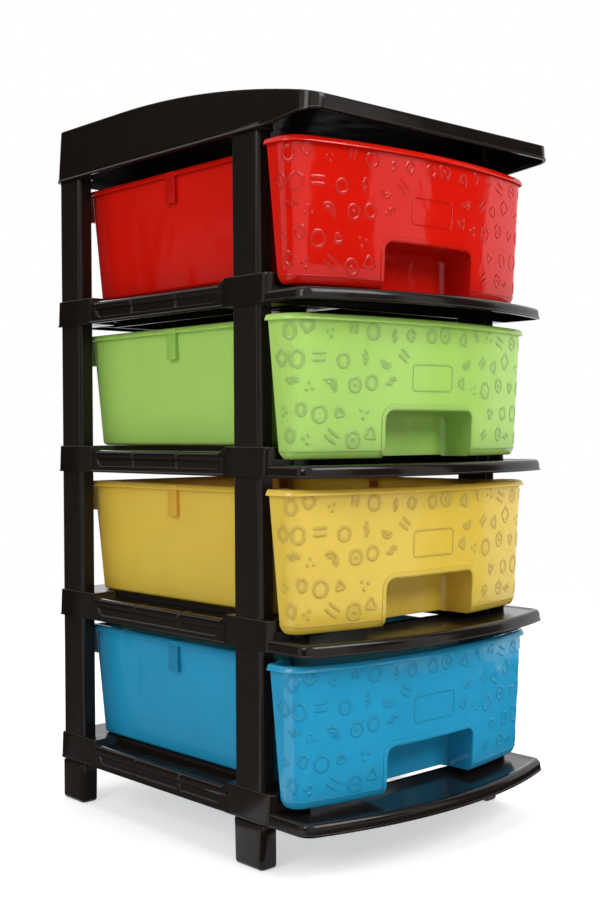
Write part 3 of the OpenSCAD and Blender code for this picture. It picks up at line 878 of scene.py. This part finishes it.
def field(y, z, y0, y1):
    """1 inside the sunk field between two sockets, 0 outside: its ends slant, so that
    it is wider at the top."""
    drop = FIELD_TOP - z
    front = (y - (y0 + 2.0 + FRONT_SLANT * drop)) / FRONT_SLOPE
    rear = (y1 - 0.5 - REAR_SLANT * drop - y) / REAR_SLOPE
    low = z - FIELD_LOW
    side = min(front, rear)
    if side < FIELD_CORNER and low < FIELD_CORNER:
        d = FIELD_CORNER - math.hypot(FIELD_CORNER - side, FIELD_CORNER - low)
    else:
        d = min(side, low)
    return blend01(d / FIELD_EDGE)


def rib(y, z, y0, y1):
    """1 on the slanted lines between the bays of the field, 0 elsewhere."""
    bay = (y1 - y0) / BAYS
    lines = (y + RIB_SLANT * max(z - ROLL_Z, 0) - (y0 + k * bay) for k in range(1, BAYS))
    return sum(math.exp(-(d / RIB_WIDTH) ** 2) for d in lines)


def side_beam(y0, y1):
    """Beam between the sockets: flange band and skirt, and in a sunk field three
    panels under a roll."""
    pitch = 0.9
    skirt_z = [2.2, 2.7] + [3.2 + 0.55 * k for k in range(15)]
    angles = range(-48, FLUSH_FULL + 1, 12)
    ledge = ROLL_Z + ROLL_R - 0.6
    rings = []
    for y in spread(y0, y1, int((y1 - y0) / pitch)):
        ring = [(HALF_W - 2.4, y, 0.0), (HALF_W - 0.3, y, 0.0), (HALF_W, y, 0.3),
                (HALF_W, y, 1.4), (HALF_W - 0.3, y, 1.75)]
        for z in skirt_z:
            sunk = FIELD_DEPTH * field(y, z, y0, y1) * (1 - 0.8 * rib(y, z, y0, y1))
            ring.append((outer_x(z) - sunk, y, z))
        for degrees in angles:
            sin, cos = math.sin(math.radians(degrees)), math.cos(math.radians(degrees))
            z = ROLL_Z + ROLL_R * sin
            r = ROLL_R - rib(y, z, y0, y1)
            round_off = blend01((degrees - FLUSH_FROM) / (FLUSH_FULL - FLUSH_FROM)) ** 2
            x = ROLL_X + r * cos
            x += (max(outer_x(z) - 3.5 * round_off, x) - x) * (1 - field(y, z, y0, y1))
            ring.append((x, y, ROLL_Z + r * sin))
        ring += [(ROLL_X - 3.2, y, ledge), (SOCKET_X, y, ledge), (SOCKET_X, y, ledge - WALL),
                 (ROLL_X - 0.6, y, ledge - WALL), (ROLL_X + 1.8, y, ROLL_Z),
                 (ROLL_X + 2.2, y, 10.0), (HALF_W - 2.8, y, 3.0)]
        rings.append(ring)
    return solid(rings)


def runner():
    """Raised runner that the tub slides on, hollow underneath."""
    x0, x1 = RUNNER_X
    edge, edge_mid, low = 1.2, 0.35, 17.5
    profile = [(x0, 0.0), (x0 + WALL, 0.0), (x0 + WALL, BEAM_H - 2), (x1 - WALL, BEAM_H - 2),
               (x1 - WALL, low), (x1, low), (x1, BEAM_H - edge),
               (x1 - edge_mid, BEAM_H - edge_mid), (x1 - edge, BEAM_H), (x0 + edge, BEAM_H),
               (x0 + edge_mid, BEAM_H - edge_mid), (x0, BEAM_H - edge)]
    bar = extruded(profile, SOCKET_FRONT + 0.4, REAR_BEAM + WALL)
    stop = block(x0 + 0.2, SOCKET_FRONT, x1 - 0.2, SOCKET_FRONT + WALL, 0.0, BEAM_H - 0.1,
                 (0.6,) * 4, 0.0, edge)
    return combine(bar, [stop], "UNION")


def rear_beam():
    """Channel across the back, open underneath."""
    x = SOCKET_X + 3.0
    beam = block(-x, REAR_BEAM, x, SKIRT_REAR, 0.0, BEAM_H, (0.5,) * 4, 0.0, 1.4)
    hollow = block(-x - 2, REAR_BEAM + WALL, x + 2, SKIRT_REAR - WALL, -1.0, BEAM_H - 2.0,
                   (0.5,) * 4, 0.0, 1.0)
    bead = block(-HALF_W + 3, SKIRT_REAR - 1.5, HALF_W - 3, REAR, 0.0, 1.8, (0.3,) * 4, 0.3, 0.3)
    combine(beam, [hollow], "DIFFERENCE")
    return combine(beam, [bead], "UNION")


def shelf_mesh():
    body = deck()
    right = [socket(SOCKET_FRONT, SOCKET_BACK, (0.8, 6.5, 1.6, 0.8)),
             socket(REAR_SOCKET, SKIRT_REAR, (0.8, 1.6, 3.0, 0.8)),
             shoulder(SOCKET_BACK - 1.5, SOCKET_BACK + 7.0),
             shoulder(REAR_SOCKET + 1.5, REAR_SOCKET - 5.0),
             side_beam(SOCKET_BACK - 0.5, REAR_SOCKET + 0.5),
             runner()]
    left = [mirrored(piece) for piece in right]
    combine(body, right + left + [rear_beam()], "UNION", split=True)
    split_faces(body)
    return finished(body, "shelf_form")


def shelves():
    form = shelf_mesh()
    for tier in TIERS:
        node = f"shelf_{tier}"
        placed(form.data, f"shelf_frame_{tier}", FRAME_BLACK, "frame", node,
               FOOT_H + (tier - 1) * PITCH)
    bpy.data.objects.remove(form)


# ---- cover ----

ARCH_R = 1050.0
ARCH_Y = REAR - 106.0  # where the flat top turns into the arch
EDGE_RISE, EDGE_RAMP = 5.5, 55.0  # the lower edge climbs towards the front
COVER_FRONT_R, COVER_REAR_R = 15.0, 7.0
ACROSS = 24  # steps across the cover


def arch(y):
    """Height of the cover's top at y."""
    if y >= ARCH_Y:
        return COVER_H
    return COVER_H - ARCH_R + math.sqrt(ARCH_R ** 2 - (ARCH_Y - y) ** 2)


def cover_edge(y):
    """Height of the cover's lower edge at y."""
    return EDGE_RISE * min(max((COVER_FRONT + EDGE_RAMP - y) / EDGE_RAMP, 0.0), 1.0)


def cover_side(inset):
    """(x, y) down the right edge from the front row to the rear row."""
    least_r = 0.5
    x = COVER_HALF - inset
    front, rear = COVER_FRONT + inset, COVER_REAR - inset
    fr, rr = max(COVER_FRONT_R - inset, least_r), max(COVER_REAR_R - inset, least_r)
    y0, y1 = front + fr, rear - rr
    points = [(x - fr + fr * math.sin(a), y0 - fr * math.cos(a)) for a in turns(8)]
    points += [(x, y) for y in spread(y0, y1, 26)[1:-1]]
    points += [(x - rr + rr * math.cos(a), y1 + rr * math.sin(a)) for a in turns(8)]
    return points


def cover_lean(x, y, rise):
    """Moves a point of the wall in as the walls lean: rise goes from 0 to 1."""
    side_lean, rear_lean, reach = 1.3, 3.4, 30
    back = blend01((y - COVER_REAR + reach) / reach)
    return x * (1 - side_lean * rise / COVER_HALF), y - rear_lean * rise * back


def cover_ring(inset, rise, height):
    """Closed loop round the cover at an inset; height turns y into z."""
    edge = cover_side(inset)
    front_x, front_y = edge[0]
    rear_x, rear_y = edge[-1]
    points = [(front_x * (2 * k / ACROSS - 1), front_y) for k in range(ACROSS)]
    points += edge[:-1]
    points += [(rear_x * (1 - 2 * k / ACROSS), rear_y) for k in range(ACROSS)]
    points += [(-x, y) for x, y in reversed(edge)][:-1]
    return [(*cover_lean(x, y, rise), height(y)) for x, y in points]


def over_edge(lift):
    """Height function: lift above the cover's lower edge."""
    return lambda y: cover_edge(y) + lift


def between(t, drop):
    """Height function: at t of the way from the lower edge to drop under the top."""
    return lambda y: cover_edge(y) + t * (arch(y) - drop - cover_edge(y))


class Shell(Form):
    """The cover's skins and roofs."""

    def roof(self, top, n, flip=False):
        """Rows of quads across the roof inside the ring of n points that starts at top."""
        rows = (n - 2 * ACROSS) // 2 + 1
        index = [[top + k for k in range(ACROSS + 1)]]
        for r in range(1, rows - 1):
            right, left = top + ACROSS + r, top + n - r
            right_x, y, z = self.points[right]
            left_x = self.points[left][0]
            row = [left]
            for k in range(1, ACROSS):
                row.append(len(self.points))
                self.points.append((left_x + (right_x - left_x) * k / ACROSS, y, z))
            index.append(row + [right])
        index.append([top + ACROSS + rows - 1 + (ACROSS - k) for k in range(ACROSS + 1)])
        for front, back in zip(index, index[1:]):
            for k in range(ACROSS):
                self.quad((front[k], front[k + 1], back[k + 1], back[k]), flip)


def post_mouth(side, y):
    """Boss under the cover with the mouth that a post stands in."""
    x = side * POST_X
    wide, deep = POST_HALF_W + WALL, POST_HALF_D + WALL
    x0, x1 = sorted((side * (POST_X - wide), side * min(POST_X + wide, COVER_HALF - 3.0)))
    boss = block(x0, y - deep, x1, min(y + deep, COVER_REAR - 5.2), 0.4, arch(y - deep) - 1.0,
                 (2.5,) * 4, 0.3, 0.0)
    wide, deep = wide - 1.5, deep - 1.5
    mouth = block(x - wide, y - deep, x + wide, y + deep, -2.0, PEG, (2.0,) * 4, 0.0, 0.0)
    return combine(boss, [mouth], "DIFFERENCE")


def cover_mesh():
    """Arched cover as a shell: outer and inner skin with their roofs, and the bosses."""
    outer = [cover_ring(inset, 0.0, over_edge(lift))
             for inset, lift in ((2.4, 0.0), (0.3, 0.0), (0.0, 0.3), (0.0, 1.4))]
    outer.append(cover_ring(0.3, 0.02, over_edge(1.8)))
    outer += [cover_ring(0.7, t, between(t, 1.0)) for t in (0.08, 0.25, 0.5, 0.75, 1.0)]
    outer += [cover_ring(inset, 1.0, between(1.0, drop))
              for inset, drop in ((0.8, 0.55), (1.1, 0.2), (1.5, 0.05), (2.3, 0.0))]
    inner = [cover_ring(2.5, t, between(t, 2.0)) for t in (0.02, 0.3, 0.6, 0.9)]
    inner.append(cover_ring(3.2, 1.0, between(1.0, 2.2)))
    shell = Shell()
    n = len(outer[0])
    outer_low, outer_top = shell.skin(outer)
    shell.roof(outer_top, n)
    inner_low, inner_top = shell.skin(inner, flip=True)
    shell.roof(inner_top, n, flip=True)
    for j in range(n):
        k = (j + 1) % n
        shell.quad((outer_low + k, outer_low + j, inner_low + j, inner_low + k))
    cover = shell.piece("cover", merge=0.001)
    for side in SIDES:
        for y in (FRONT_POST_Y, REAR_POST_Y):
            joined(cover, post_mouth(side, y))
    return finished(cover, "cover_form")


def cover():
    form = cover_mesh()
    placed(form.data, "arched_cover", FRAME_BLACK, "frame", "top_cover", COVER_Z)
    bpy.data.objects.remove(form)


# ---- posts and feet ----

def posts():
    """The posts are the CAD solids with a better material."""
    for name, node in frame["nodes"].items():
        if name.startswith("post_"):
            node.data.materials.clear()
            node.data.materials.append(POST_BLACK)


def foot_mesh():
    """Right-hand front foot, centred on its post, with a short neck on top."""
    top = FOOT_H - 2.0
    x0, x1 = -POST_HALF_W - 0.8, POST_HALF_W + 1.4
    y0, y1 = -POST_HALF_D - 1.0, POST_HALF_D + 1.4
    sole_r, edge = 3.5, 0.6
    levels = quarter(sole_r, 5)
    levels += [(0.0, z) for z in spread(sole_r, top - edge, 4)[1:]]
    levels += [(0.2, top - 0.2), (edge, top)]
    rings = []
    for inset, z in levels:
        taper = 1.0 - z / top
        loop = rounded_loop(x0, y0, x1, y1 - taper, (1.8, 5.0, 5.0, 1.8), inset)
        rings.append([(x, y, z) for x, y in loop])
    neck = rounded_loop(-POST_HALF_W, -POST_HALF_D, POST_HALF_W, POST_HALF_D,
                        (1.5, 4.0, 4.0, 1.5))
    rings += [[(x, y, z) for x, y in neck] for z in (top, FOOT_H + 4.5)]
    return finished(solid(rings), "foot_form")


def feet():
    form = foot_mesh()
    for side, side_name in ((-1, "left"), (1, "right")):
        for turn, y, place in ((1, FRONT_POST_Y, "front"), (-1, REAR_POST_Y, "rear")):
            mesh = form.data.copy()
            mesh.transform(Matrix.Diagonal((side, turn, 1, 1)))
            if side * turn < 0:
                mesh.flip_normals()
            mesh.transform(Matrix.Translation((side * POST_X * MM, y * MM, 0)))
            placed(mesh, f"rounded_foot_{place}_{side_name}", POST_BLACK, "frame",
                   f"foot_{place}_{side_name}", 0.0)
            bpy.data.meshes.remove(mesh)
    bpy.data.objects.remove(form)


# ---- studio ----

WORLD_LIGHT = 0.47
FLOOR_GREY = (0.62, 0.62, 0.62, 1)
FLOOR_LIFT = 0.55  # makes the seen floor near white round the shadow
FADE_FROM, FADE_TO = 0.55, 1.7  # metres from the tower, where the floor turns white
FLOOR_HALF = 12.0
CLOTHS = (("black_cloth", 0.0), ("dim_cloth", 0.06), ("grey_cloth", 0.18))
BLACK, DIM, GREY = 0, 1, 2
WHITE = (1, 1, 1, 1)


def camera():
    """The photograph's camera: a place, a heading, a small tilt and a small roll."""
    focal_px, image_h, sensor = 1272.56, 900, 36.0
    place = (-0.7932, -0.8629, 0.3447)
    yaw, pitch, roll = (math.radians(a) for a in (42.39, 0.74, 0.34))
    forward = Vector((math.sin(yaw) * math.cos(pitch), math.cos(yaw) * math.cos(pitch),
                      -math.sin(pitch)))
    level = Vector((math.cos(yaw), -math.sin(yaw), 0.0))
    down = forward.cross(level)
    right = level * math.cos(roll) + down * math.sin(roll)
    down = down * math.cos(roll) - level * math.sin(roll)
    data = bpy.data.cameras.new("camera")
    data.sensor_fit = "VERTICAL"
    data.sensor_height = sensor
    data.lens = focal_px * sensor / image_h
    eye = link("camera", data)
    turn = Matrix((right, -down, -forward)).transposed()
    eye.matrix_world = Matrix.Translation(place) @ turn.to_4x4()
    bpy.context.scene.camera = eye


def area_light(name, place, size, power):
    """Soft panel that faces the middle of the tower; sizes in metres, power in watts."""
    data = bpy.data.lights.new(name, "AREA")
    data.shape = "RECTANGLE"
    data.size, data.size_y = size
    data.energy = power
    lamp = link(name, data)
    lamp.location = place
    aim = Vector((0.0, 0.0, 0.3)) - Vector(place)
    lamp.rotation_euler = aim.to_track_quat("-Z", "Y").to_euler()


def seen_directly(tree):
    """1 for rays that show the backdrop: from the camera, a gloss or a clear body."""
    rays = add(tree, "LightPath")
    either = maths(tree, "MAXIMUM", rays["Is Camera Ray"], rays["Is Glossy Ray"])
    return maths(tree, "MAXIMUM", either, rays["Is Transmission Ray"])


def mix_shaders(tree, factor, first, second, output):
    """Sends the mix of two shaders to the named output node."""
    mix = add(tree, "MixShader", {"Fac": factor, 1: first, 2: second})["Shader"]
    tree.links.new(mix, tree.nodes[output].inputs["Surface"])


def world():
    """Soft grey light all round, which is seen as plain white."""
    studio = bpy.data.worlds.new("studio")
    studio.use_nodes = True
    bpy.context.scene.world = studio
    tree = studio.node_tree
    light = fill(tree, tree.nodes["Background"], {"Color": WHITE, "Strength": WORLD_LIGHT})
    white = add(tree, "Background", {"Color": WHITE, "Strength": 1.0})
    mix_shaders(tree, seen_directly(tree), light["Background"], white["Background"],
                "World Output")


def floor():
    """Pale floor that keeps the tower's shadow and fades to plain white around it."""
    far = FLOOR_HALF
    mesh = bpy.data.meshes.new("floor")
    mesh.from_pydata([(-far, -far, 0), (far, -far, 0), (far, far, 0), (-far, far, 0)], [],
                     [(0, 1, 2, 3)])
    ground = link("floor", mesh)
    material, tree, shader = new_material("floor")
    seen = seen_directly(tree)
    lift = maths(tree, "MULTIPLY", seen, FLOOR_LIFT)
    pale = fill(tree, shader, {"Base Color": FLOOR_GREY, "Roughness": 0.9,
                               "Specular IOR Level": 0.0, "Emission Color": WHITE,
                               "Emission Strength": lift})
    white = add(tree, "Emission", {"Strength": 1.0})
    coords = add(tree, "TexCoord")["Object"]
    away = add(tree, "VectorMath", {0: coords}, operation="LENGTH")["Value"]
    fade = maths(tree, "MULTIPLY", slope(tree, away, FADE_FROM, FADE_TO), seen)
    mix_shaders(tree, fade, pale["BSDF"], white["Emission"], "Material Output")
    ground.data.materials.append(material)


def cloth_material(name, glow):
    """Cloth that gives off a plain grey of the strength glow."""
    material, tree, shader = new_material(name)
    fill(tree, shader, {"Base Color": (0.01, 0.01, 0.01, 1), "Roughness": 1.0,
                        "Specular IOR Level": 0.0, "Emission Color": WHITE,
                        "Emission Strength": glow})
    return material


def flags():
    """Black and grey cloths round the set and on its floor, which only reflections
    see: the gaps between them are the bright windows that shine in the plastic."""
    points, faces, shades = [], [], []

    def cloth(start, end, rows, shade=BLACK):
        """Cloth between two headings, in degrees from the front towards +X, through
        rows of (radius, height)."""
        turn = 5
        steps = max(int((end - start) / turn), 2)
        base = len(points)
        for radius, height in rows:
            for a in map(math.radians, spread(start, end, steps)):
                points.append((radius * math.sin(a), -radius * math.cos(a), height))
        for row in range(len(rows) - 1):
            for k in range(steps):
                i = base + row * (steps + 1) + k
                faces.append((i, i + 1, i + steps + 2, i + steps + 1))
                shades.append(shade)

    far, tall, eye_level, laid = 8.0, 5.0, 1.2, 0.003
    for start, end, low in ((-94, -58, 0.0), (13, 29.5, 0.35), (188, 214, 0.0)):
        cloth(start, end, ((far, low), (far, tall)))
    cloth(214, 234, ((far, eye_level), (far, tall)), DIM)
    cloth(214, 234, ((far, 0.0), (far, eye_level)), GREY)
    near = ((0.9, laid), (1.3, laid), (1.3, 2.0))
    cloth(40, 56, near)
    cloth(56, 62, near, DIM)
    from_tower = ((0.08, laid), (far, laid))
    cloth(186, 214, from_tower)
    cloth(214, 262, from_tower, GREY)
    cloth(-60, 112, ((0.19, laid), (0.8, laid)))
    mesh = bpy.data.meshes.new("flags")
    mesh.from_pydata(points, [], faces)
    cloths = link("flags", mesh)
    for name, glow in CLOTHS:
        mesh.materials.append(cloth_material(name, glow))
    mesh.polygons.foreach_set("material_index", shades)
    cloths.visible_camera = False
    cloths.visible_diffuse = False
    cloths.visible_shadow = False
    cloths.visible_transmission = False


def studio():
    bpy.context.scene.view_settings.view_transform = "Standard"
    world()
    floor()
    flags()
    area_light("key", (0.5, -2.3, 2.1), (1.4, 1.4), 54)
    area_light("side", (-2.4, -0.5, 1.7), (1.0, 1.4), 27)
    area_light("top", (0.0, 0.2, 2.9), (1.6, 1.6), 28)
    area_light("back", (1.2, 2.2, 1.9), (1.8, 1.8), 20)


camera()
studio()
drawers()
shelves()
cover()
posts()
feet()
